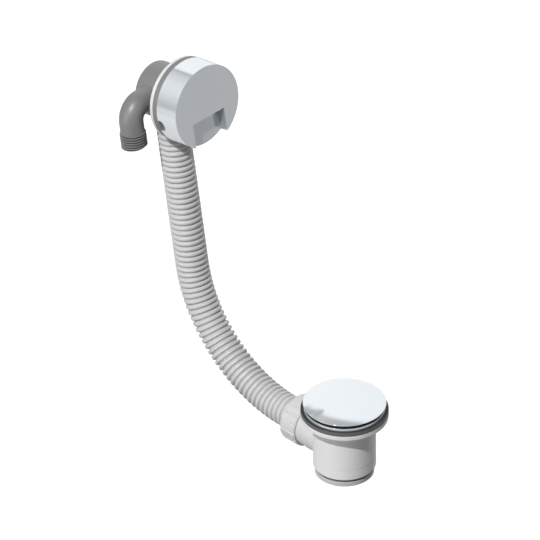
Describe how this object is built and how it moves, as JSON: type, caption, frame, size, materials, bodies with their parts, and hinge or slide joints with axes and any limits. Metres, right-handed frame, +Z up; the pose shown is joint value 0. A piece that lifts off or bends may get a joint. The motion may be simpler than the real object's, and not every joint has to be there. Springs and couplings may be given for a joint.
{
  "type": "bath waste and overflow",
  "caption": "Bath filler overflow head on a corrugated hose to a bath waste with a domed push plug: fills the bath, drains it and catches the overflow.",
  "frame": {"origin": "on the waste axis, at the seat for the bath floor, where the chrome flange meets its gasket", "axes": "+Z up along the waste axis; +Y from the waste towards the filler head and the end wall of the bath; +X to the right seen from inside the bath"},
  "size_m": [0.0869, 0.2537, 0.3123],
  "materials": {
    "chrome": "polished chrome plate on brass",
    "white_plastic": "satin moulded polypropylene, white",
    "hose_plastic": "corrugated polypropylene, pale grey",
    "grey_plastic": "satin moulded plastic, mid grey",
    "black_plastic": "moulded plastic, black",
    "dark_rubber": "soft rubber, dark grey",
    "black_rubber": "soft rubber, black",
    "brass": "turned brass",
    "steel": "stainless steel"
  },
  "bodies": {
    "fitting": {"waste_body": "white_plastic", "waste_gasket": "dark_rubber", "waste_flange": "chrome", "clicker_housing": "brass", "clicker_nut": "brass", "clicker_spring": "steel", "hose_nut": "white_plastic", "hose_washer": "white_plastic", "hose_seal": "black_rubber", "overflow_hose": "hose_plastic", "filler_body": "grey_plastic", "overflow_flange": "white_plastic", "overflow_gasket": "dark_rubber", "clamp_plate": "white_plastic", "clamp_screws": "steel", "nozzle_o_rings": "black_rubber", "cap_liner": "white_plastic", "filler_cap": "chrome", "cap_grub_screw": "steel"},
    "plug": {"plug_cover": "chrome", "plug_seal": "black_rubber", "plug_carrier": "black_plastic", "clicker_plunger": "brass", "clicker_rotor": "black_plastic"}
  },
  "joints": [
    {"name": "plug_slide", "type": "slide", "parent": "fitting", "child": "plug", "axis": [0, 0, 1], "range_m": [0, 0.009], "deforming": ["clicker_spring"]}
  ]
}
